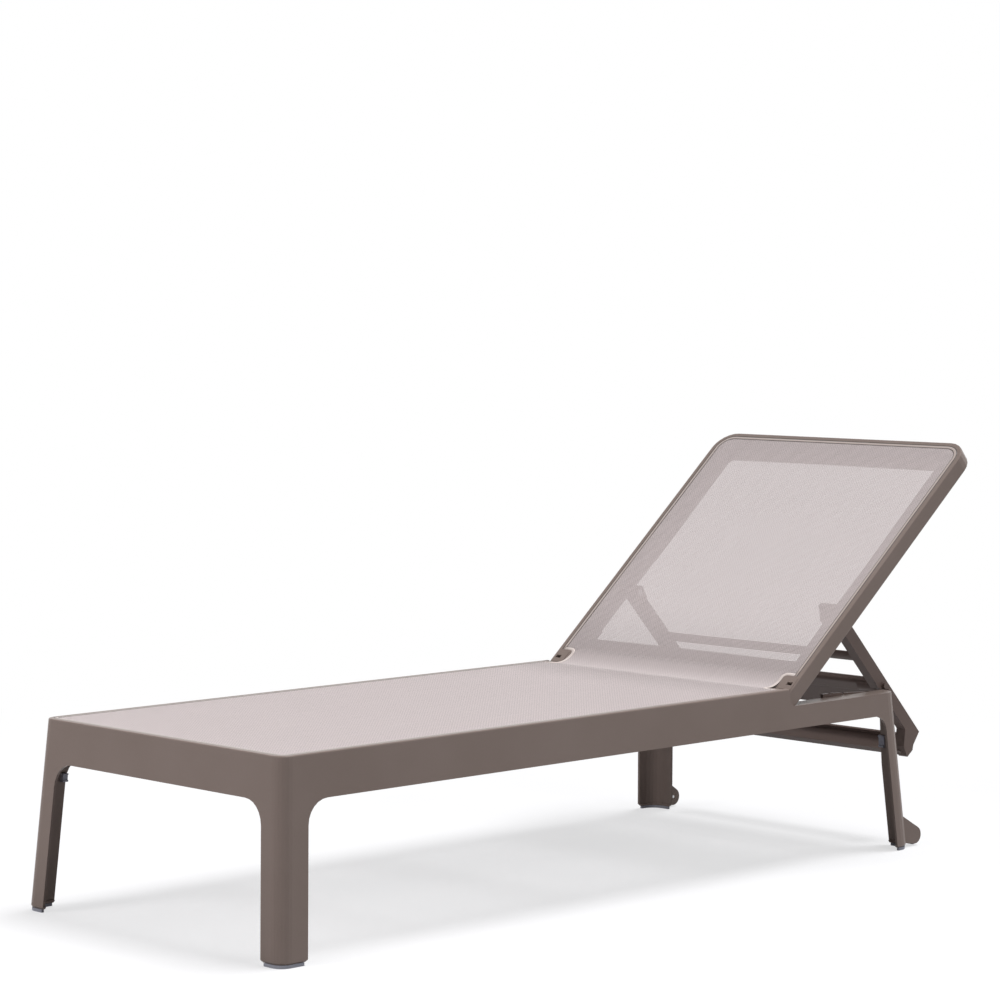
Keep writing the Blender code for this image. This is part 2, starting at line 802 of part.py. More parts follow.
def back_frame():
    """The backrest's moulding with its arms, groove, ribs and trough, and the pins and covers in it."""
    top = back_thickness / 2
    low = -top
    opening = back_outline(side_rail, cross_rail_end, top_rail, back_inner_radius)
    below = [
        (-back_width(0) + side_rail, low - overrun),
        (back_width(0) - side_rail, low - overrun),
        (back_width(0) - side_rail, cross_rail_start),
        (-back_width(0) + side_rail, cross_rail_start),
    ]
    body = plate("backrest_frame", [back_outline(0, low)], back_thickness, back_space, back_edge_round)
    profile = rounded([(low, -top, top * nearly_round), (back_length, -top, top / 2),
                       (back_length, top, back_edge_round), (low, top, top * nearly_round)])
    modify(body, plate("arm_ends", [profile], frame_width + overrun, back_space @ yz_space), "INTERSECT")
    cut(body, plate("back_opening", [opening], back_thickness + overrun, back_space))
    cut(body, plate("back_foot", [below], back_thickness + overrun, back_space))
    lift = Matrix.Translation((0, 0, top - cloth_drop + overrun / 2))
    recess = plate("back_recess", [back_outline(groove_end - groove_width / 2, hinge_notch_length)],
                   overrun, back_space @ lift)
    lift = Matrix.Translation((0, 0, top - groove_depth + overrun / 2))
    groove = [back_outline(rim_land, groove_start), back_outline(groove_end, groove_start + rib)]
    open_groove = plate("back_groove", groove, overrun, back_space @ lift)
    cut(body, recess, open_groove)
    pocket_top = top - groove_depth - skin
    lift = Matrix.Translation((0, 0, pocket_top - overrun / 2))
    pockets = []
    runs = (
        (fork_length + boss_radius / 2, prop_from_pivot - boss_radius, low_pocket_count),
        (prop_from_pivot + boss_radius, back_length - top_rail - back_inner_radius, high_pocket_count),
    )
    for start, end, count in runs:
        pitch = (end - start + rib) / count
        for number in range(count):
            near, far = start + number * pitch, start + (number + 1) * pitch - rib
            for _, side in sides:
                corners = []
                for along in (near, far):
                    outer, inner = back_width(along) - skin, back_width(along) - side_rail + skin
                    corners.append([side * outer, side * inner])
                pockets.append(
                    [
                        (corners[0][0], near),
                        (corners[0][1], near),
                        (corners[1][1], far),
                        (corners[1][0], far),
                    ]
                )
    reach = back_width(back_length) - back_corner_radius
    pitch = (2 * reach + rib) / top_pocket_count
    for number in range(top_pocket_count):
        left = -reach + number * pitch
        right = left + pitch - rib
        near, far = back_length - top_rail + skin, back_length - skin - rim_round
        pockets.append([(left, near), (right, near), (right, far), (left, far)])
    for number, outline in enumerate(pockets):
        cut(body, plate("pocket_%d" % number, [outline], overrun, back_space @ lift))
    near, far = cross_rail_start + skin, cross_rail_end - skin
    reach = back_width(0) - side_rail - skin
    trough = [(-reach, near), (reach, near), (reach, far), (-reach, far)]
    drop = top - cross_rail_drop - skin - overrun / 2
    cut(body, plate("cross_trough", [trough], overrun, back_space @ Matrix.Translation((0, 0, drop))))
    lower = [(-reach - skin, cross_rail_start - skin), (reach + skin, cross_rail_start - skin),
             (reach + skin, cross_rail_end + skin), (-reach - skin, cross_rail_end + skin)]
    lift = Matrix.Translation((0, 0, top - cross_rail_drop + overrun / 2))
    cut(body, plate("cross_drop", [lower], overrun, back_space @ lift))
    near = (rack_start - pivot_from_foot) - rack_relief
    far = (rack_end - pivot_from_foot) + rack_relief
    relief_top = rack_top(rack_start) - pivot_height + rack_relief / 2
    for name, side in sides:
        across = sorted((side * (rack_inner - rack_relief), side * (rail_inner + rack_relief / 4)))
        relief = box("rack_relief_" + name, (across[0], near, -overrun),
                     (across[1], far, relief_top), back_space)
        cut(body, relief)
        slot = sorted((side * fork_inner, side * fork_outer))
        seat = sorted((side * cover_inner, side * cover_outer))
        window = sorted((side * cover_slot_inner, side * cover_slot_outer))
        cover_end, slot_end = cover_start + cover_length, cover_slot_start + cover_slot
        bore_start = side * (back_width(0) - side_rail - short_overrun)
        cut(
            body,
            box("fork_slot_" + name, (slot[0], -overrun, -overrun), (slot[1], fork_length, fork_roof),
                back_space),
            rod("fork_bore_" + name, pin_radius + gap, bore_start,
                side * (back_width(0) - pin_cover), (0, 0), back_space),
            rod("prop_bore_" + name, pin_radius + gap, bore_start,
                side * prop_pin_outer, (prop_from_pivot, 0), back_space),
            box("cover_seat_" + name, (seat[0] - gap, cover_start - gap, top - cover_sink),
                (seat[1] + gap, cover_end + gap, top + overrun), back_space),
            box("cover_slot_" + name, (window[0], cover_slot_start, 0),
                (window[1], slot_end, overrun), back_space),
        )
        cover = plate(
            "hinge_cover_" + name,
            [
                [(seat[0], cover_start), (seat[1], cover_start), (seat[1], cover_end), (seat[0], cover_end)],
                [(window[0], cover_slot_start), (window[1], cover_slot_start), (window[1], slot_end),
                 (window[0], slot_end)],
            ],
            cover_height,
            back_space @ Matrix.Translation((0, 0, top - cover_sink + gap + cover_height / 2)),
        )
        finish(cover, taupe, back_hinge)
        pin = rod("hinge_pin_" + name, pin_radius, side * (back_width(0) - side_rail - gap),
                  side * (back_width(0) - pin_cover - gap), (0, 0), back_space)
        head = rod("pin_head", pin_head_radius, side * (back_width(0) - side_rail - gap),
                   side * (back_width(0) - side_rail - gap - pin_head), (0, 0), back_space)
        join(pin, head)
        finish(pin, steel, back_hinge)
        prop_pin = rod("prop_pin_" + name, pin_radius, side * head_inner, side * (prop_pin_outer - gap),
                       (prop_from_pivot, 0), back_space)
        head = rod("prop_pin_head", pin_head_radius, side * (head_inner - gap),
                   side * (head_inner - gap - pin_head), (prop_from_pivot, 0), back_space)
        neck = rod("prop_pin_neck", pin_neck_radius, side * (head_inner - gap - pin_head / 2),
                   side * (head_inner + pin_head), (prop_from_pivot, 0), back_space)
        join(prop_pin, head, neck)
        finish(prop_pin, steel, back_hinge)
    return finish(body, taupe, back_hinge)


def prop():
    """Two legs with toes, tied by three bars, and short pins that rest in the racks."""
    width = leg_outer - head_overlap - head_inner
    body = rod("prop_frame", upper_bar_thick / 2, -leg_outer + leg_thick / 2, leg_outer - leg_thick / 2,
               (0, 0))
    body.data.transform(
        prop_space
        @ Matrix.Translation((0, upper_bar_at, 0))
        @ Matrix.Diagonal((1, upper_bar_long / upper_bar_thick, 1, 1))
    )
    half = leg_depth / 2
    leg = arc(0, 0, half, 90, 270)
    leg += [
        (toe_start, -half),
        (toe_end - toe_reach * toe_taper, -toe_reach + toe_round),
        (toe_end - toe_round, -toe_reach),
        (toe_end - toe_notch / 2, -toe_reach),
        (toe_end, -leg_depth),
        (toe_end - toe_round, -toe_shoulder),
        (toe_end - toe_round - toe_notch, toe_tip),
        (toe_end - toe_round * 2, half),
    ]
    start, turn, end = head_arcs
    head = arc(0, 0, boss_radius, start, turn) + arc(boss_shift, -boss_drop, boss_radius, turn, end)
    for name, side in sides:
        middle = prop_space @ Matrix.Translation((side * (leg_outer - leg_thick / 2), 0, 0)) @ yz_space
        join(body, plate("prop_leg_" + name, [leg], leg_thick, middle))
        middle = prop_space @ Matrix.Translation((side * (head_inner + width / 2), 0, 0)) @ yz_space
        join(body, plate("prop_head_" + name, [head], width, middle))
        ends = (side * (leg_outer - leg_thick / 2), side * (leg_outer - leg_thick - knob_length))
        join(body, rod("knob_" + name, knob_radius, *ends, (rest_bar_at, 0), prop_space))
        ends = (side * (leg_outer - leg_thick / 3), side * (rack_inner + rest_pin_reach))
        join(body, rod("rest_pin_" + name, rest_pin_radius, *ends, (rest_bar_at, 0), prop_space))
    reach = 2 * leg_outer - leg_thick
    bar = rounded(
        [
            (rest_bar_at - rest_bar_long / 2, -rest_bar_thick / 2, rest_bar_thick / 3),
            (rest_bar_at + rest_bar_long / 2, -rest_bar_thick / 2, rest_bar_wall),
            (rest_bar_at + rest_bar_long / 2, rest_bar_thick / 2, rest_bar_wall),
            (rest_bar_at - rest_bar_long / 2, rest_bar_thick / 2, rest_bar_thick / 3),
        ]
    )
    join(body, plate("rest_bar", [bar], reach, prop_space @ yz_space))
    apron = [
        (rest_bar_at, -apron_wall / 2),
        (rest_apron_end, -apron_wall / 2),
        (rest_apron_end, apron_wall / 2),
        (rest_bar_at, apron_wall / 2),
    ]
    join(body, plate("rest_apron", [apron], reach - gap, prop_space @ yz_space))
    web = toe_end - toe_notch
    channel = [
        (web - foot_bar_wall - foot_bar_lip, -toe_reach + foot_bar_lift),
        (web, -toe_reach + foot_bar_lift),
        (web, -toe_reach + foot_bar_tall),
        (web - foot_bar_wall - foot_bar_lip, -toe_reach + foot_bar_tall),
        (web - foot_bar_wall - foot_bar_lip, -toe_reach + foot_bar_tall - foot_bar_wall),
        (web - foot_bar_wall, -toe_reach + foot_bar_tall - foot_bar_wall),
        (web - foot_bar_wall, -toe_reach + foot_bar_wall),
        (web - foot_bar_wall - foot_bar_lip, -toe_reach + foot_bar_wall),
    ]
    join(body, plate("foot_bar", [channel], reach - 2 * gap, prop_space @ yz_space))
    for name, side in sides:
        bore = rod("head_bore_" + name, pin_radius + gap, side * (head_inner - short_overrun),
                   side * (leg_outer + gap), (0, 0), prop_space)
        cut(body, bore)
    return finish(body, taupe, prop_hinge)


def slings():
    """The mesh, in its two recesses, cut out round the hinges, with the cords that hold it."""
    edge = groove_end + gap
    top = rim_height - cloth_drop + gap
    notch_x = half_width - hinge_notch_width
    rear = pivot_y - crease_gap
    x, low = half_width - edge, foot_y + edge
    radius = foot_corner_radius - edge
    notch_y = pivot_y - hinge_notch_length
    right = [(x, low, radius), (x, notch_y, 0), (notch_x, notch_y, 0), (notch_x, rear, 0)]
    left = [(-x, y, size) for x, y, size in right[::-1]]
    middle = Matrix.Translation((0, 0, top + cloth / 2))
    finish(plate("seat_sling", [rounded(right + left)], cloth, middle), mesh_cloth)
    high = back_length - edge
    x_top, x_low = back_width(high) - edge, back_width(hinge_notch_length) - edge
    right = [
        (notch_x, crease_gap, 0),
        (notch_x, hinge_notch_length + gap, 0),
        (x_low, hinge_notch_length + gap, 0),
        (x_top, high, back_corner_radius - edge),
    ]
    left = [(-x, y, size) for x, y, size in right[::-1]]
    middle = back_space @ Matrix.Translation((0, 0, back_thickness / 2 - cloth_drop + gap + cloth / 2))
    finish(plate("back_sling", [rounded(right + left)], cloth, middle), mesh_cloth, back_hinge)
    inset = rim_land + groove_width / 2
    deep = groove_depth - gap - spline_radius
    rear = pivot_y - step_radius - spline_end_gap
    x, low = half_width - inset, foot_y + inset
    radius = foot_corner_radius - inset
    path = rounded([(-x, rear, 0), (-x, low, radius), (x, low, radius), (x, rear, 0)])
    cord = tube("seat_spline", [(px, py, rim_height - deep) for px, py in path], spline_radius)
    finish(cord, black)
    high, low = back_length - inset, groove_start + spline_end_gap
    x_top, x_low = back_width(high) - inset, back_width(low) - inset
    radius = back_corner_radius - inset
    path = rounded([(-x_low, low, 0), (-x_top, high, radius), (x_top, high, radius), (x_low, low, 0)])
    points = [(px, py, back_thickness / 2 - deep) for px, py in path]
    cord = tube("back_spline", points, spline_radius, back_space)
    finish(cord, black, back_hinge)


def upright_cap(depth, height):
    """A point of the foot caps' section, under the wall as it stands at the floor."""
    return (leaning(depth, 0)[0], height, depth)


def foot_caps():
    """Four pads under the legs: corners of a low ring that follows the wall."""
    for end, name_y, width_y, reach_x in (
        (-1, "foot", foot_leg_side_width, half_width - leg_edge(foot_leg_end_width, 0)),
        (1, "rear", rear_leg_side_width, half_width - leg_edge(rear_leg_end_width, 0)),
    ):
        for name, side in sides:
            cap = ring("foot_cap_%s_%s" % (name_y, name), [
                upright_cap(cap_inset, 0),
                upright_cap(cap_inset, cap_height),
                upright_cap(foot_rim - gap, cap_height),
                upright_cap(foot_rim - gap, 0),
            ])
            edge_y = (foot_y if end < 0 else rear_y) - end * (leg_edge(width_y, 0) - cap_end_inset)
            far_y = (foot_y if end < 0 else rear_y) + end * overrun
            edge_x, far_x = side * (reach_x + cap_end_inset), side * (half_width + overrun)
            corner = box("cap_corner", (min(edge_x, far_x), min(edge_y, far_y), -overrun),
                         (max(edge_x, far_x), max(edge_y, far_y), overrun))
            modify(cap, corner, "INTERSECT")
            finish(cap, rubber)


def rear_bumper(name, side):
    """A flanged clip on a rear leg's inner edge that spaces the stacked frames."""
    low, high = rear_bumper_middle - bumper_height / 2, rear_bumper_middle + bumper_height / 2

    def face(depth, height):
        """A point at a depth behind the rear wall's outer face, as (y, z)."""
        return (rear_y - leaning(depth, height)[0], height)

    out, back = -bumper_cheek - gap, wall + gap + bumper_cheek
    grow, step, back_step = bumper_flange, bumper_flange_height, bumper_back_flange_height
    outline = [
        face(out - grow, low), face(out - grow, low + step), face(out, low + step),
        face(out, high - step), face(out - grow, high - step), face(out - grow, high),
        face(back + grow, high), face(back + grow, high - back_step), face(back, high - back_step),
        face(back, low + back_step), face(back + grow, low + back_step), face(back + grow, low),
    ]
    place = Matrix.Translation((side * (rear_bumper_inner + rear_bumper_outer) / 2, 0, 0)) @ yz_space
    body = plate(name, [outline], rear_bumper_outer - rear_bumper_inner, place)
    slot = [face(-gap, low - overrun), face(-gap, high + overrun),
            face(wall + gap, high + overrun), face(wall + gap, low - overrun)]
    near, far = rear_passage - gap, rear_bumper_outer + overrun
    place = Matrix.Translation((side * (near + far) / 2, 0, 0)) @ yz_space
    cut(body, plate("bumper_slot", [slot], far - near, place))
    return finish(body, rubber)


def foot_bumper(name, side):
    """A flanged pad on the inside of a foot leg that spaces the stacked frames."""
    low, high = foot_bumper_middle - foot_bumper_height / 2, foot_bumper_middle + foot_bumper_height / 2

    def face(depth, height):
        """A point at a depth behind the side wall's outer face, as (x, z)."""
        return (side * (half_width - leaning(depth, height)[0]), height)

    near, reach, step = wall + gap, wall + foot_bumper_reach, foot_bumper_flange
    far = reach + bumper_flange
    outline = [
        face(near, low), face(far, low), face(far, low + step), face(reach, low + step),
        face(reach, high - step), face(far, high - step), face(far, high), face(near, high),
    ]
    middle = foot_y + foot_bumper_from + foot_bumper_long / 2
    body = plate(name, [outline], foot_bumper_long, Matrix.Translation((0, middle, 0)) @ xz_space)
    return finish(body, rubber)


def wheels():
    """Two plain rollers between the cheeks, each on its own axle."""
    for name, side in sides:
        start = side * (wheel_inner + 2 * gap)
        end = side * (wheel_outer - cheek_wall - 2 * gap)
        wheel = rod("wheel_" + name, wheel_radius, start, end, (axle_y, axle_height), None, 2 * round_steps)
        made = wheel.modifiers.new("tread_edges", "BEVEL")
        made.width = wheel_round
        made.segments = 2
        made.limit_method = "ANGLE"
        settle(wheel)
        cut(wheel, rod("wheel_bore", axle_radius + gap, start - side * overrun, end + side * overrun,
                       (axle_y, axle_height)))
        axle = hinge_empty("wheel_axis_" + name, ((start + end) / 2, axle_y, axle_height), 0)
        finish(wheel, black, axle)
        bar = rod("wheel_axle_" + name, axle_radius, side * (wheel_inner - cheek_wall),
                  side * (wheel_outer - cheek_wall / 2 - gap), (axle_y, axle_height))
        finish(bar, steel)


seat_frame()
back_frame()
prop()
slings()
foot_caps()
wheels()
for side_name, side_sign in sides:
    rest_rack(side_name, side_sign)
    rear_bumper("stacking_bumper_rear_" + side_name, side_sign)
    foot_bumper("stacking_bumper_foot_" + side_name, side_sign)
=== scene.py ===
"""Dressed scene of a stackable sun lounger: taupe moulded frame, pale mesh sling across the hinge.

Metres. X runs across, +X being the near side; Y runs from the foot end to the head end; Z is up.
"""
import math

import bpy
import numpy as np
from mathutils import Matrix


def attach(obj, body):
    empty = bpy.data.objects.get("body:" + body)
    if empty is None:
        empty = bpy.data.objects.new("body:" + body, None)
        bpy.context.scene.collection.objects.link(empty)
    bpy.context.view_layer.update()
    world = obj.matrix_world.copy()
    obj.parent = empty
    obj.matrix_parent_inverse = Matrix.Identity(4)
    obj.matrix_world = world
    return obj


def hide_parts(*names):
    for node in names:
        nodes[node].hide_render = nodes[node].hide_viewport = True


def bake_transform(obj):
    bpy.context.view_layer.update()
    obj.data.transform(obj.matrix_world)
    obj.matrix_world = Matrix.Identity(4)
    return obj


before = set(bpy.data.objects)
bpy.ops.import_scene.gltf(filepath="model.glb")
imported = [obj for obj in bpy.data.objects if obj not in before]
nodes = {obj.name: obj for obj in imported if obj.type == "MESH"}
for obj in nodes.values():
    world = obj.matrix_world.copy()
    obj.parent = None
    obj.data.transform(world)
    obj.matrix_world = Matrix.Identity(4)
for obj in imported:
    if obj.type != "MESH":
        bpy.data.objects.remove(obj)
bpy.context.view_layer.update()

sides = ("left", "right")

# Sizes that the mesh sling takes from the frame that holds it
half_width = 0.3266
rim_height = 0.3422
foot_end = -0.890045
pivot_y = 0.374455
rest_angle = math.radians(40.3)
back_half_thick = 0.0161
back_length = 0.6950
back_low_half = 0.3245
back_top_half = 0.3310
groove_end = 0.0129
foot_corner = 0.0240
back_corner = 0.0460
cloth_drop = 0.0015
cutout_half = 0.0370
cutout_inner = 0.2836

# The sling's own sizes: its thickness, its lift off the flange, how far it reaches over the groove
# and is tucked down into it, its bend at the crease, how deep it sags, and how far from its ends
cloth = 0.00024
cloth_rise = 0.00075
groove_reach = 0.0005
tuck = 0.0022
bend_radius = 0.0600
seat_sag = 0.0035
back_sag = 0.0030
seat_free_from = 0.0270
back_free_to = 0.0390

# Lengths along the sling, which is one length of mesh from the foot end over the hinge to the top
seat_level = rim_height - cloth_drop + cloth_rise
back_level = back_half_thick - cloth_drop + cloth_rise
half_angle_tangent = math.tan(rest_angle / 2)
crease_y = pivot_y - back_level * half_angle_tangent
bend_run = bend_radius * half_angle_tangent
bend_long = bend_radius * rest_angle
seat_start = foot_end + groove_end - groove_reach
seat_long = crease_y - bend_run - seat_start
back_from = back_level * half_angle_tangent + bend_run
back_to = back_length - groove_end + groove_reach
whole_long = seat_long + bend_long + back_to - back_from
cutout_low = pivot_y - cutout_half - seat_start
cutout_high = seat_long + bend_long + cutout_half - back_from
crease_along = seat_long + bend_long / 2
foot_round = foot_corner - groove_end + groove_reach
back_round = back_corner - groove_end + groove_reach


# Shading helpers

def linear(code):
    """An sRGB hex colour as linear RGBA, by the two pieces of the sRGB curve."""
    parts = [int(code[place:place + 2], 16) / 255 for place in (1, 3, 5)]
    return (*[p / 12.92 if p <= 0.04045 else ((p + 0.055) / 1.055) ** 2.4 for p in parts], 1.0)


def new_material(name):
    """An empty node material with its tree."""
    made = bpy.data.materials.new(name)
    made.use_nodes = True
    made.node_tree.nodes.clear()
    return made, made.node_tree


def node(tree, kind, inputs=None, **settings):
    """A node with its settings; each input is a value, or the socket that feeds it."""
    made = tree.nodes.new("ShaderNode" + kind)
    for name, value in settings.items():
        setattr(made, name, value)
    for name, value in (inputs or {}).items():
        if isinstance(value, bpy.types.NodeSocket):
            tree.links.new(value, made.inputs[name])
        else:
            made.inputs[name].default_value = value
    return made


def dress(material, *names):
    """Give CAD nodes a material on all their slots."""
    for name in names:
        piece = nodes[name]
        if not piece.data.materials:
            piece.data.materials.append(material)
        for place in range(len(piece.data.materials)):
            piece.data.materials[place] = material


def moulded_plastic(name, pale, deep, roughness, grain_mm, bump_mm):
    """Injection-moulded plastic with a spark-eroded surface: even colour with a faint cloudy drift,
    a fine pebbled grain that breaks up the highlights, and a satin gloss. The specular level is
    low, because the photo shows hardly any reflection on the faces in the shade."""
    clouds_per_metre = 6.0
    grains_per_metre = 1000 / grain_mm
    grain_share = 0.35
    deep_at, pale_at = 0.30, 0.72
    gloss_drift = 0.06
    made, tree = new_material(name)
    place = node(tree, "TexCoord").outputs["Object"]
    cloud = node(tree, "TexNoise", {"Vector": place, "Scale": clouds_per_metre, "Detail": 3.0})
    grain = node(tree, "TexNoise", {"Vector": place, "Scale": grains_per_metre, "Detail": 2.0,
                                    "Roughness": 0.6})
    speck = node(tree, "Mix", {0: grain_share, 6: cloud.outputs["Color"], 7: grain.outputs["Color"]},
                 data_type="RGBA")
    tone = node(tree, "ValToRGB", {"Fac": speck.outputs[2]})
    tone.color_ramp.elements[0].position = deep_at
    tone.color_ramp.elements[0].color = linear(deep)
    tone.color_ramp.elements[1].position = pale_at
    tone.color_ramp.elements[1].color = linear(pale)
    rough = node(tree, "MapRange", {"Value": grain.outputs["Fac"], "From Min": 0.3, "From Max": 0.7,
                                    "To Min": roughness - gloss_drift,
                                    "To Max": roughness + gloss_drift})
    bump = node(tree, "Bump", {"Height": grain.outputs["Fac"], "Strength": 0.35,
                               "Distance": bump_mm / 1000})
    shader = node(tree, "BsdfPrincipled", {"Base Color": tone.outputs["Color"],
                                           "Roughness": rough.outputs["Result"],
                                           "Normal": bump.outputs["Normal"], "IOR": 1.49,
                                           "Specular IOR Level": 0.14})
    node(tree, "OutputMaterial", {"Surface": shader.outputs["BSDF"]})
    return made


# Each plastic's grain is given in millimetres, and drawn two to three times as coarse as the real
# one, so that it shows in the render

# Polypropylene coloured in the mass and moulded in a textured tool: warm taupe, satin, pebbled at
# 0.5 mm in fact and at 1.4 mm as drawn
taupe = moulded_plastic("taupe_moulded_polypropylene", "#8f817b", "#84766f", 0.34, 1.4, 0.06)
# The same polypropylene from another tool, with a finer grain, for the prop and the racks; its
# colour is made a shade deeper as painted shade, for the shade these parts sit in under the seat
taupe_painted_shade = moulded_plastic("taupe_prop_polypropylene", "#796a64", "#6f605b", 0.34, 1.1, 0.05)
# Thermoplastic rubber, blue-grey and matt, which takes a little dust
rubber = moulded_plastic("blue_grey_thermoplastic_rubber", "#adafba", "#9fa1ad", 0.62, 0.9, 0.10)
# Nylon wheels, worn smooth by use
nylon = moulded_plastic("charcoal_moulded_nylon", "#4b4744", "#3f3c3a", 0.42, 0.8, 0.05)
# PVC cord pressed into the groove, dark and slightly shiny
cord_vinyl = moulded_plastic("dark_extruded_vinyl_cord", "#4a413d", "#3d3532", 0.38, 0.6, 0.03)


def extruded_strip():
    """Polypropylene strip drawn through a die: smooth, a shade paler and pinker than the moulding,
    with fine draw lines along it. Painted shade darkens a thin band along both its edges, next to
    the mesh and next to the rim. The draw lines are about 0.1 mm apart in fact and are drawn
    0.4 mm apart, so that they show. u runs across the strip from the hem line outwards, v along
    it, both in metres."""
    lines_per_metre, drifts_per_metre = 2500.0, 12.0
    # Across the strip, where the painted shade along its inner and its outer edge begins and ends, and how
    # dark it gets
    inner_seam_from, inner_seam_to = -0.0044, -0.0036
    outer_seam_from, outer_seam_to = 0.0002, 0.0010
    seam_shade = 0.22
    made, tree = new_material("taupe_extruded_polypropylene_strip")
    uv = node(tree, "UVMap", uv_map="weave").outputs["UV"]
    split = node(tree, "SeparateXYZ", {"Vector": uv})
    lines = node(tree, "Mapping", {"Vector": uv, "Scale": (lines_per_metre, drifts_per_metre, 1.0)})
    drawn = node(tree, "TexNoise", {"Vector": lines.outputs["Vector"], "Scale": 1.0, "Detail": 2.0})
    tone = node(tree, "ValToRGB", {"Fac": drawn.outputs["Fac"]})
    tone.color_ramp.elements[0].position = 0.30
    tone.color_ramp.elements[0].color = linear("#b8aaa4")
    tone.color_ramp.elements[1].position = 0.72
    tone.color_ramp.elements[1].color = linear("#c2b4ae")
    inner = node(tree, "MapRange", {"Value": split.outputs["X"], "From Min": inner_seam_from,
                                    "From Max": inner_seam_to, "To Min": seam_shade, "To Max": 1.0})
    outer = node(tree, "MapRange", {"Value": split.outputs["X"], "From Min": outer_seam_from,
                                    "From Max": outer_seam_to, "To Min": 1.0, "To Max": seam_shade})
    # Painted shade: the tone is darkened along both edges of the strip
    seam_painted_shade = node(tree, "Math", {0: inner.outputs["Result"], 1: outer.outputs["Result"]},
                 operation="MULTIPLY")
    colour = node(tree, "Mix", {0: 1.0, 6: tone.outputs["Color"], 7: seam_painted_shade.outputs[0]},
                  data_type="RGBA", blend_type="MULTIPLY")
    bump = node(tree, "Bump", {"Height": drawn.outputs["Fac"], "Strength": 0.2, "Distance": 0.00005})
    shader = node(tree, "BsdfPrincipled", {"Base Color": colour.outputs[2], "Roughness": 0.32,
                                           "Normal": bump.outputs["Normal"], "IOR": 1.49})
    node(tree, "OutputMaterial", {"Surface": shader.outputs["BSDF"]})
    return made


strip_look = extruded_strip()


def zinc_plated_steel():
    """Turned and zinc-plated steel: bright grey, fine rings from the lathe, soft reflections. The
    pins, axles and screws lie along X, so the rings follow each other along X. They are about
    0.15 mm apart in fact and are drawn 0.4 mm apart."""
    rings_per_metre, drifts_per_metre = 2500.0, 60.0
    made, tree = new_material("zinc_plated_turned_steel")
    place = node(tree, "TexCoord").outputs["Object"]
    stretch = node(tree, "Mapping", {"Vector": place,
                                     "Scale": (rings_per_metre, drifts_per_metre, drifts_per_metre)})
    rings = node(tree, "TexNoise", {"Vector": stretch.outputs["Vector"], "Scale": 1.0, "Detail": 2.0})
    tone = node(tree, "ValToRGB", {"Fac": rings.outputs["Fac"]})
    tone.color_ramp.elements[0].color = linear("#9a9c9e")
    tone.color_ramp.elements[1].color = linear("#c9cacb")
    rough = node(tree, "MapRange", {"Value": rings.outputs["Fac"], "To Min": 0.26, "To Max": 0.44})
    shader = node(tree, "BsdfPrincipled", {"Base Color": tone.outputs["Color"], "Metallic": 1.0,
                                           "Roughness": rough.outputs["Result"]})
    node(tree, "OutputMaterial", {"Surface": shader.outputs["BSDF"]})
    return made


steel = zinc_plated_steel()


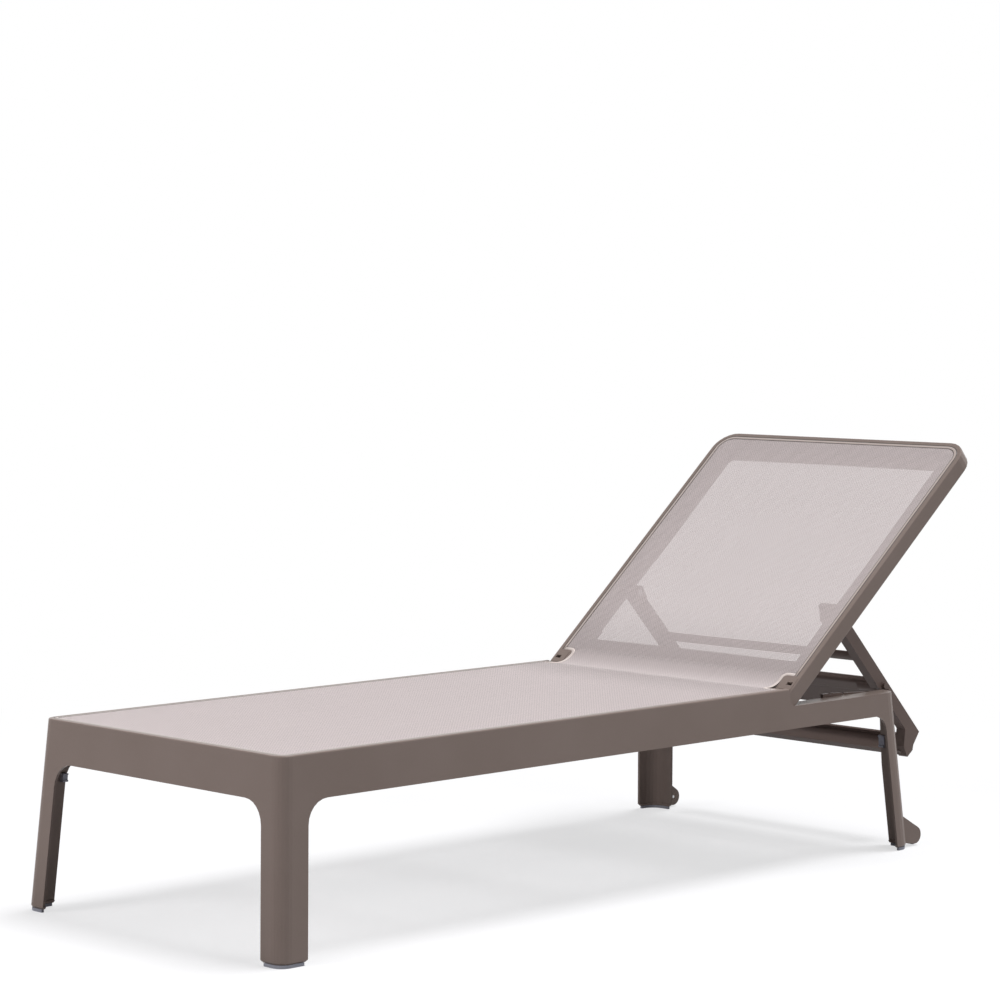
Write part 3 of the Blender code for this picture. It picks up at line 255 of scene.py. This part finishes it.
def coated_mesh():
    """Vinyl-coated polyester yarns, woven open: a plain weave of round yarns with small square
    holes between them. The yarns are 1 mm apart in fact and are drawn 3.2 mm apart, so that the
    weave shows. A little over a fifth of the area is hole, which lets as much show through as in
    the photo. A yarn's height is the size of a sine across it. Painted shade gives the chequer of
    the weave: it darkens the crossings where the yarns along the sling lie on top, and the hollows
    beside each yarn. Towards the crease, where the seat and the back shade each other, the colour
    is darkened with painted shade, and beside it the holes are shut. u runs across and v along
    the sling, both in metres."""
    pitch = 0.0032
    hole_edge, yarn_edge = 0.63, 0.73
    crossing = 0.2
    shut_to, open_from = 0.018, 0.046
    # Where the painted shade towards the crease is darkest and where it ends, then how dark the painted
    # shade gets at the crease, on the chequer and in the hollows
    deep_to, plain_from = 0.01, 0.20
    crease_shade, chequer_shade, hollow_shade = 0.79, 0.87, 0.86
    drifts_per_metre = 6.0
    made, tree = new_material("vinyl_coated_polyester_mesh")
    uv = node(tree, "UVMap", uv_map="weave").outputs["UV"]
    split = node(tree, "SeparateXYZ", {"Vector": uv})
    waves, gaps = [], []
    for axis in ("X", "Y"):
        turn = node(tree, "Math", {0: split.outputs[axis], 1: math.pi / pitch}, operation="MULTIPLY")
        wave = node(tree, "Math", {0: turn.outputs[0]}, operation="SINE")
        size = node(tree, "Math", {0: wave.outputs[0]}, operation="ABSOLUTE")
        waves.append((wave, size))
        near = node(tree, "MapRange", {"Value": size.outputs[0], "From Min": hole_edge,
                                       "From Max": yarn_edge, "To Min": 1.0, "To Max": 0.0})
        gaps.append(near)
    over = node(tree, "Math", {0: waves[0][0].outputs[0], 1: waves[1][0].outputs[0]},
                operation="MULTIPLY")
    which = node(tree, "MapRange", {"Value": over.outputs[0], "From Min": -crossing,
                                    "From Max": crossing})
    height = node(tree, "Mix", {0: which.outputs["Result"], 2: waves[0][1].outputs[0],
                                3: waves[1][1].outputs[0]}, data_type="FLOAT")
    opened = node(tree, "Math", {0: gaps[0].outputs["Result"], 1: gaps[1].outputs["Result"]},
                  operation="MULTIPLY")
    from_crease = node(tree, "Math", {0: split.outputs["Y"], 1: crease_along}, operation="SUBTRACT")
    from_crease = node(tree, "Math", {0: from_crease.outputs[0]}, operation="ABSOLUTE")
    beyond = node(tree, "MapRange", {"Value": from_crease.outputs[0], "From Min": shut_to,
                                     "From Max": open_from}, interpolation_type="SMOOTHSTEP")
    opened = node(tree, "Math", {0: opened.outputs[0], 1: beyond.outputs["Result"]},
                  operation="MULTIPLY")
    solid = node(tree, "Math", {0: 1.0, 1: opened.outputs[0]}, operation="SUBTRACT")
    threads = node(tree, "Mapping", {"Vector": uv, "Scale": (1 / pitch, drifts_per_metre, 1.0)})
    thread = node(tree, "TexNoise", {"Vector": threads.outputs["Vector"], "Scale": 1.0, "Detail": 1.0})
    tone = node(tree, "ValToRGB", {"Fac": thread.outputs["Fac"]})
    tone.color_ramp.elements[0].position = 0.25
    tone.color_ramp.elements[0].color = linear("#dbcfcf")
    tone.color_ramp.elements[1].position = 0.75
    tone.color_ramp.elements[1].color = linear("#e2d6d6")
    # Painted shade: crossings where the yarns along the sling lie on top are darkened
    chequer = node(tree, "MapRange", {"Value": which.outputs["Result"], "To Min": chequer_shade,
                                      "To Max": 1.0})
    # Painted shade in the hollows beside each yarn
    shade = node(tree, "MapRange", {"Value": height.outputs[0], "From Min": 0.4,
                                    "To Min": hollow_shade, "To Max": 1.0})
    shade = node(tree, "Math", {0: shade.outputs["Result"], 1: chequer.outputs["Result"]},
                 operation="MULTIPLY")
    # Painted shade towards the crease
    crease = node(tree, "MapRange", {"Value": from_crease.outputs[0], "From Min": deep_to,
                                     "From Max": plain_from, "To Min": crease_shade, "To Max": 1.0},
                  interpolation_type="SMOOTHSTEP")
    shade = node(tree, "Math", {0: shade.outputs[0], 1: crease.outputs["Result"]}, operation="MULTIPLY")
    colour = node(tree, "Mix", {0: 1.0, 6: tone.outputs["Color"], 7: shade.outputs[0]},
                  data_type="RGBA", blend_type="MULTIPLY")
    bump = node(tree, "Bump", {"Height": height.outputs[0], "Strength": 0.3, "Distance": 0.0004})
    shader = node(tree, "BsdfPrincipled", {"Base Color": colour.outputs[2], "Roughness": 0.62,
                                           "Alpha": solid.outputs[0], "Normal": bump.outputs["Normal"],
                                           "IOR": 1.5})
    node(tree, "OutputMaterial", {"Surface": shader.outputs["BSDF"]})
    return made


def welded_band():
    """The same mesh pressed flat and filled with vinyl round the cut-outs: smooth and closed, so it
    looks paler than the open mesh, with the yarns just showing as a cross-hatch. That is 1 mm apart
    in fact and is drawn 2.6 mm apart."""
    pitch = 0.0026
    clouds_per_metre = 40.0
    made, tree = new_material("heat_welded_vinyl_band")
    uv = node(tree, "UVMap", uv_map="weave").outputs["UV"]
    scaled = node(tree, "Mapping", {"Vector": uv, "Scale": (1 / pitch, 1 / pitch, 1.0)})
    hatch = node(tree, "TexChecker", {"Vector": scaled.outputs["Vector"], "Scale": 1.0})
    cloud = node(tree, "TexNoise", {"Vector": uv, "Scale": clouds_per_metre, "Detail": 2.0})
    tone = node(tree, "ValToRGB", {"Fac": cloud.outputs["Fac"]})
    tone.color_ramp.elements[0].position = 0.25
    tone.color_ramp.elements[0].color = linear("#d6cac5")
    tone.color_ramp.elements[1].position = 0.75
    tone.color_ramp.elements[1].color = linear("#ddd2cd")
    bump = node(tree, "Bump", {"Height": hatch.outputs["Fac"], "Strength": 0.15, "Distance": 0.0001})
    shader = node(tree, "BsdfPrincipled", {"Base Color": tone.outputs["Color"], "Roughness": 0.5,
                                           "Normal": bump.outputs["Normal"], "IOR": 1.5})
    node(tree, "OutputMaterial", {"Surface": shader.outputs["BSDF"]})
    return made


mesh_look = coated_mesh()
band_look = welded_band()


# The sling's form

def along_back(s):
    """Distance up the back from its hinge, for a distance along the sling."""
    return s - seat_long - bend_long + back_from


def sling_place(x, s, lift):
    """Point at x across and s along the sling, lifted off its middle surface. Level over the seat,
    then a round bend about a line above the hinge, then straight up the back."""
    turn = np.clip((s - seat_long) / bend_radius, 0, rest_angle)
    reach = np.minimum(s, seat_long)
    beyond = np.maximum(s - seat_long - bend_long, 0)
    y = seat_start + reach + bend_radius * np.sin(turn) + beyond * np.cos(turn) - lift * np.sin(turn)
    z = seat_level + bend_radius * (1 - np.cos(turn)) + beyond * np.sin(turn) + lift * np.cos(turn)
    return np.stack([x + 0 * s, y, z], axis=-1)


def sling_half(s):
    """Half width of the sling at s along it: the frame's groove line, straight on the seat and
    spreading up the back, drawn in round a quarter circle at the corners of both ends."""
    share = np.clip(along_back(s) / back_length, 0, 1)
    back = back_low_half + (back_top_half - back_low_half) * share
    side = np.where(s < crease_along, half_width, back) - groove_end + groove_reach
    for distance, radius in ((s, foot_round), (whole_long - s, back_round)):
        inside = np.clip(radius - distance, 0, radius)
        side = side - radius + np.sqrt(radius ** 2 - inside ** 2)
    return side


def sag(x, s):
    """Slack under the sling's own weight between the rails: a shallow parabola across, times the
    same raised to a power below 1 along the seat and along the back, which flattens its middle."""
    flattening = 0.7
    across = 1 - np.clip(np.abs(x) / cutout_inner, 0, 1) ** 2
    spans = (
        (seat_sag, seat_free_from, seat_long),
        (back_sag, seat_long + bend_long, whole_long - back_free_to),
    )
    fall = 0.0
    for depth, start, end in spans:
        share = np.clip((s - start) / (end - start), 0, 1)
        fall = fall + depth * (4 * share * (1 - share)) ** flattening
    return -across * fall


def grid_faces(rows, columns, keep):
    """Quads of a grid numbered row by row, for the cells where keep is true."""
    row, column = np.meshgrid(np.arange(rows - 1), np.arange(columns - 1), indexing="ij")
    corner = row * columns + column
    quads = np.stack([corner, corner + 1, corner + columns + 1, corner + columns], axis=-1)
    return quads[keep]


def surface(name, places, quads, uv, material):
    """A mesh object from places and quads, leaving out unused places, with uv in the weave map."""
    used, numbers = np.unique(quads, return_inverse=True)
    quads = numbers.reshape(quads.shape)
    places, uv = places[used], uv[used]
    mesh = bpy.data.meshes.new(name)
    mesh.vertices.add(len(places))
    mesh.vertices.foreach_set("co", places.astype(np.float32).ravel())
    mesh.loops.add(quads.size)
    mesh.loops.foreach_set("vertex_index", quads.astype(np.int32).ravel())
    mesh.polygons.add(len(quads))
    mesh.polygons.foreach_set("loop_start", np.arange(0, quads.size, 4, dtype=np.int32))
    mesh.update(calc_edges=True)
    layer = mesh.uv_layers.new(name="weave")
    layer.data.foreach_set("uv", uv[quads.ravel()].astype(np.float32).ravel())
    mesh.polygons.foreach_set("use_smooth", np.ones(len(quads), dtype=bool))
    mesh.materials.append(material)
    made = bpy.data.objects.new(name, mesh)
    bpy.context.scene.collection.objects.link(made)
    return made


def corner_steps(radius, count):
    """Distances from an end that step evenly round its corner: the radius times one less the cosine
    of the angle turned."""
    return radius * (1 - np.cos(np.linspace(0, math.pi / 2, count)))


def mesh_sling():
    """The sling as a grid: rows follow its length, finest at the corners and the bend; columns
    run straight in the middle and spread to the edge beside the cut-outs; the last row and column
    turn down into the groove. A place is sling_place of its x, its s and its sag, and its u and v
    are its x and s. Gives back the piece, its flat width and length, and its flat area."""
    foot_rows, seat_rows, bend_rows, back_rows, top_rows = 7, 90, 30, 54, 9
    middle_columns, side_columns = 57, 4
    foot = corner_steps(foot_round, foot_rows)
    top = whole_long - corner_steps(back_round, top_rows)[::-1]
    low, high = cutout_low, cutout_high
    s = np.concatenate([
        [0.0],
        foot,
        np.linspace(foot[-1], low, seat_rows)[1:],
        np.linspace(low, high, bend_rows)[1:],
        np.linspace(high, top[0], back_rows)[1:-1],
        top,
        [whole_long],
    ])
    core = np.linspace(-cutout_inner, cutout_inner, middle_columns)
    spread = np.linspace(0, 1, side_columns + 1)[1:]
    half = sling_half(s)
    flap = cutout_inner + (half[:, None] - cutout_inner) * spread
    edge = half[:, None]
    x = np.hstack([-edge, -flap[:, ::-1], np.repeat(core[None], len(s), 0), flap, edge])
    lift = sag(x, s[:, None])
    lift[:, [0, -1]] -= tuck
    lift[[0, -1], :] -= tuck
    places = sling_place(x, s[:, None] + 0 * x, lift)
    uv = np.stack([x, s[:, None] + 0 * x], axis=-1)
    # The hems at the sides keep the weave's scale where they turn down
    uv[:, 0, 0] -= tuck
    uv[:, -1, 0] += tuck
    rows, columns = x.shape
    middle = (s[:-1] + s[1:]) / 2
    in_cutout = (middle > low) & (middle < high)
    side_cell = np.ones(columns - 1, dtype=bool)
    side_cell[side_columns + 1:-side_columns - 1] = False
    keep = ~(in_cutout[:, None] & side_cell[None])
    quads = grid_faces(rows, columns, keep)
    made = surface("mesh_sling", places.reshape(-1, 3), quads, uv.reshape(-1, 2), mesh_look)
    thick = made.modifiers.new("yarn_thickness", "SOLIDIFY")
    thick.thickness = cloth
    thick.offset = 0
    # The outline's area, less the two cut-outs, with the hems at the sides
    area = float(np.sum((half[:-1] + half[1:]) * np.diff(s)))
    area -= 2 * float(np.mean(half[(s > low) & (s < high)]) - cutout_inner) * (high - low)
    flat = (2 * float(half.max() + tuck), whole_long + 2 * tuck)
    return made, flat, area + 2 * tuck * whole_long


def tube_of_rows(name, places, uv, caps, turned, material):
    """A closed bar from rows of section points: quads join each row to the next and close round the
    section, and the quads in caps close both ends. turned is true where the rows or the section run
    the other way round, so that the faces still point outwards."""
    rows, columns = places.shape[:2]
    row = np.arange(rows - 1)[:, None]
    column = np.arange(columns)[None]
    following = (column + 1) % columns
    quads = np.stack([row * columns + column, (row + 1) * columns + column,
                      (row + 1) * columns + following, row * columns + following], axis=-1)
    start = np.array(caps)
    quads = np.vstack([quads.reshape(-1, 4), start, (start + (rows - 1) * columns)[:, ::-1]])
    if turned:
        quads = quads[:, ::-1]
    return surface(name, places.reshape(-1, 3), quads, uv.reshape(-1, 2), material)


def band(name, side):
    """Welded band round a cut-out: a flat section carried along the cut-out's edge, which runs in
    from the side, turns a round corner, goes on past the hinge, turns again and runs out. A row is
    the x and s of a centre and the way out from it. The section starts one corner radius from the
    centre, or at the centre itself in the first and last rows."""
    wide = 0.0068
    corner = 0.0080
    low_lift, high_lift = -0.00058, 0.0010
    inner_edge, outer_edge = 0.0003, 0.0004
    out_to = 0.3078
    corner_rows, hinge_rows = 9, 24
    low, high = cutout_low, cutout_high
    centre = cutout_inner + corner
    turns = np.linspace(0, math.pi / 2, corner_rows)
    past_hinge = np.linspace(low + corner, high - corner, hinge_rows)[1:-1]
    path = [(out_to, low, 0.0, -1.0)]
    path += [(centre, low + corner, -math.sin(t), -math.cos(t)) for t in turns]
    path += [(centre, s, -1.0, 0.0) for s in past_hinge]
    path += [(centre, high - corner, -math.cos(t), math.sin(t)) for t in turns]
    path += [(out_to, high, 0.0, 1.0)]
    path = np.array(path)
    section = np.array([
        (0, low_lift),
        (0, high_lift - inner_edge),
        (inner_edge, high_lift),
        (wide - inner_edge, high_lift),
        (wide, high_lift - outer_edge),
        (wide, low_lift),
    ])
    root = np.full(len(path), corner)
    root[[0, -1]] = 0.0
    reach = root[:, None] + section[None, :, 0]
    x = path[:, :1] + path[:, 2:3] * reach
    s = path[:, 1:2] + path[:, 3:4] * reach
    lift = np.repeat(section[None, :, 1], len(path), 0)
    places = sling_place(side * x, s, lift)
    uv = np.stack([side * x, s], axis=-1)
    caps = ((0, 1, 4, 5), (1, 2, 3, 4))
    return tube_of_rows(name, places, uv, caps, side < 0, band_look)


def edge_line(seat):
    """The sling's edge on the seat or on the back, from one cut-out round the far end to the
    other: rows of x, s and the way out, which turns through a quarter circle at each corner. It
    starts a small gap away from the cut-out."""
    gap = 0.0005
    straight_rows, corner_rows = 40, 9
    corner = foot_round if seat else back_round
    end = 0.0 if seat else whole_long
    out = -1.0 if seat else 1.0
    start = cutout_low - gap if seat else cutout_high + gap
    middle = end - out * corner
    straight = np.linspace(start, middle, straight_rows)
    turns = np.linspace(0, math.pi / 2, corner_rows)[1:]
    side = sling_half(middle)
    right = np.vstack([
        np.stack([sling_half(straight), straight, 1 + 0 * straight, 0 * straight], axis=-1),
        np.stack([side - corner + corner * np.cos(turns), middle + out * corner * np.sin(turns),
                  np.cos(turns), out * np.sin(turns)], axis=-1),
    ])
    return np.vstack([right, right[::-1] * np.array([-1, 1, -1, 1])])


def edge_strip(name, seat):
    """Strip that holds the mesh's hem in its groove: an L section, a thin top over the hem and a
    tongue down into the groove, carried along the sling's edge. u runs out across the section, v
    along the edge."""
    inner, tongue, outer = -0.0056, 0.0006, 0.0023
    inner_top, outer_top = -0.0052, 0.0020
    foot, under, edge, top = -0.0025, 0.0002, 0.0004, 0.0006
    section = np.array([
        (inner, under),
        (tongue, under),
        (tongue, foot),
        (outer, foot),
        (outer, edge),
        (outer_top, top),
        (inner_top, top),
        (inner, edge),
    ])
    path = edge_line(seat)
    x = path[:, :1] + path[:, 2:3] * section[None, :, 0]
    s = path[:, 1:2] + path[:, 3:4] * section[None, :, 0]
    places = sling_place(x, s, np.repeat(section[None, :, 1], len(path), 0))
    steps = np.hypot(*np.diff(path[:, :2], axis=0).T)
    along = np.concatenate([[0.0], np.cumsum(steps)])
    uv = np.stack([np.repeat(section[None, :, 0], len(path), 0), along[:, None] + 0 * x], axis=-1)
    caps = ((0, 1, 4, 7), (1, 2, 3, 4), (4, 5, 6, 7))
    return tube_of_rows(name, places, uv, caps, seat, strip_look)


# The pieces of the sling: the sling and its bands have their placing baked in, and the seat's
# edge strip goes with the seat and the back's with the backrest
sling, sling_flat, sling_area = mesh_sling()
bands = [band("cutout_band_left", -1), band("cutout_band_right", 1)]
for piece in (sling, *bands):
    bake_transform(piece)
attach(edge_strip("seat_edge_strip", True), "seat")
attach(edge_strip("back_edge_strip", False), "backrest")
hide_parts("seat_sling", "back_sling")


# Materials on the frame's own pieces

dress(taupe, "seat_frame", "backrest_frame", *["hinge_cover_" + side for side in sides])
# The prop and the racks take the deeper taupe, whose colour carries painted shade
dress(taupe_painted_shade, "prop_frame", *["rest_rack_" + side for side in sides])
dress(rubber, *["%s_%s_%s" % (name, end, side) for name in ("foot_cap", "stacking_bumper")
                for end in ("foot", "rear") for side in sides])
turned_pieces = ("hinge_pin", "prop_pin", "wheel_axle", "rack_screw_1", "rack_screw_2")
dress(steel, *["%s_%s" % (name, side) for name in turned_pieces for side in sides])
dress(nylon, *["wheel_" + side for side in sides])
dress(cord_vinyl, "seat_spline", "back_spline")


# Studio: pale floor, soft light from above, white surroundings

def seen_rays(tree):
    """1 for the rays that show the surroundings: to the camera, in gloss and through glass."""
    ray = node(tree, "LightPath")
    seen = node(tree, "Math", {0: ray.outputs["Is Camera Ray"], 1: ray.outputs["Is Glossy Ray"]},
                operation="MAXIMUM")
    return node(tree, "Math", {0: seen.outputs[0], 1: ray.outputs["Is Transmission Ray"]},
                operation="MAXIMUM").outputs[0]


def studio_floor():
    """Matt emulsion paint on a wide floor, with a faint mottle. To the camera it is lifted to white
    and keeps the object's shadow; away from the object it runs out to plain white. Soft light that
    the floor throws back on the object comes from the paint alone."""
    clouds_per_metre = 3.0
    lift_share, lift_strength = 0.18, 3.62
    shadow_to, white_from = 1.5, 2.6
    made, tree = new_material("painted_studio_floor")
    place = node(tree, "TexCoord").outputs["Object"]
    mottle = node(tree, "TexNoise", {"Vector": place, "Scale": clouds_per_metre, "Detail": 2.0})
    tone = node(tree, "ValToRGB", {"Fac": mottle.outputs["Fac"]})
    tone.color_ramp.elements[0].color = linear("#acacae")
    tone.color_ramp.elements[1].color = linear("#b1b1b3")
    paint = node(tree, "BsdfDiffuse", {"Color": tone.outputs["Color"]})
    lift = node(tree, "Emission", {"Color": (0.990, 0.992, 1.0, 1.0), "Strength": lift_strength})
    lifted = node(tree, "MixShader", {0: lift_share, 1: paint.outputs[0], 2: lift.outputs[0]})
    reach = node(tree, "VectorMath", {0: place}, operation="LENGTH")
    away = node(tree, "MapRange", {"Value": reach.outputs["Value"], "From Min": shadow_to,
                                   "From Max": white_from}, interpolation_type="SMOOTHSTEP")
    white = node(tree, "Emission", {"Color": (1.0, 1.0, 1.0, 1.0), "Strength": 1.0})
    lifted = node(tree, "MixShader", {0: away.outputs["Result"], 1: lifted.outputs[0], 2: white.outputs[0]})
    choice = node(tree, "MixShader", {0: seen_rays(tree), 1: paint.outputs[0], 2: lifted.outputs[0]})
    node(tree, "OutputMaterial", {"Surface": choice.outputs[0]})
    return made


floor_half = 40.0
corner_signs = np.array([(-1.0, -1.0, 0.0), (1.0, -1.0, 0.0), (1.0, 1.0, 0.0), (-1.0, 1.0, 0.0)])
floor = surface("studio_floor", floor_half * corner_signs, np.array([[0, 1, 2, 3]]),
                np.zeros((4, 2)), studio_floor())

# White to the camera, in gloss and through glass; as light on the object only a faint fill
fill_strength, white_strength = 0.07, 1.0
world = bpy.data.worlds.new("white_studio")
world.use_nodes = True
bpy.context.scene.world = world
world.node_tree.nodes.clear()
shown = seen_rays(world.node_tree)
level = node(world.node_tree, "MapRange", {"Value": shown, "To Min": fill_strength,
                                           "To Max": white_strength})
sky = node(world.node_tree, "Background", {"Color": (1.0, 1.0, 1.0, 1.0),
                                           "Strength": level.outputs["Result"]})
node(world.node_tree, "OutputWorld", {"Surface": sky.outputs[0]})


def soft_box(name, place, target, size, power, colour):
    """A square soft box that faces its target."""
    lamp = bpy.data.lights.new(name, "AREA")
    lamp.size = size
    lamp.energy = power
    lamp.color = colour
    made = bpy.data.objects.new(name, lamp)
    away = np.array(place, float) - np.array(target, float)
    made.location = place
    flat = math.hypot(away[0], away[1])
    made.rotation_euler = (math.atan2(flat, away[2]), 0.0, math.atan2(away[0], -away[1]))
    bpy.context.scene.collection.objects.link(made)


# A broad light from above, a little from the head end and the near side, then two soft boxes that
# light the faces towards the camera
overhead = bpy.data.lights.new("overhead_light", "SUN")
overhead.energy = 2.8
overhead.angle = math.radians(28)
overhead_object = bpy.data.objects.new("overhead_light", overhead)
overhead_object.rotation_euler = (math.radians(-18), math.radians(4), 0.0)
bpy.context.scene.collection.objects.link(overhead_object)
soft_box("foot_end_soft_box", place=(-0.9, -4.2, 1.8), target=(0.0, -0.5, 0.3), size=1.8, power=68.0,
         colour=(1.0, 0.965, 0.955))
soft_box("near_side_soft_box", place=(4.2, 0.2, 2.6), target=(0.0, 0.0, 0.3), size=1.8, power=48.0,
         colour=(1.0, 0.985, 0.98))

# The camera stands off the near foot corner and looks a little down, as solved from the feet, the
# level rim and the backrest's edges in the photograph; both angles are in radians
camera_pitch = 0.0677
camera_turn = 0.8055
camera_data = bpy.data.cameras.new("photo_camera")
camera_data.lens = 114.55
camera_data.sensor_width = 36.0
camera = bpy.data.objects.new("photo_camera", camera_data)
camera.location = (4.251228, -4.170029, 1.104644)
camera.rotation_euler = (math.pi / 2 - camera_pitch, 0.0, camera_turn)
bpy.context.scene.collection.objects.link(camera)
bpy.context.scene.camera = camera
bpy.context.scene.view_settings.view_transform = "Standard"
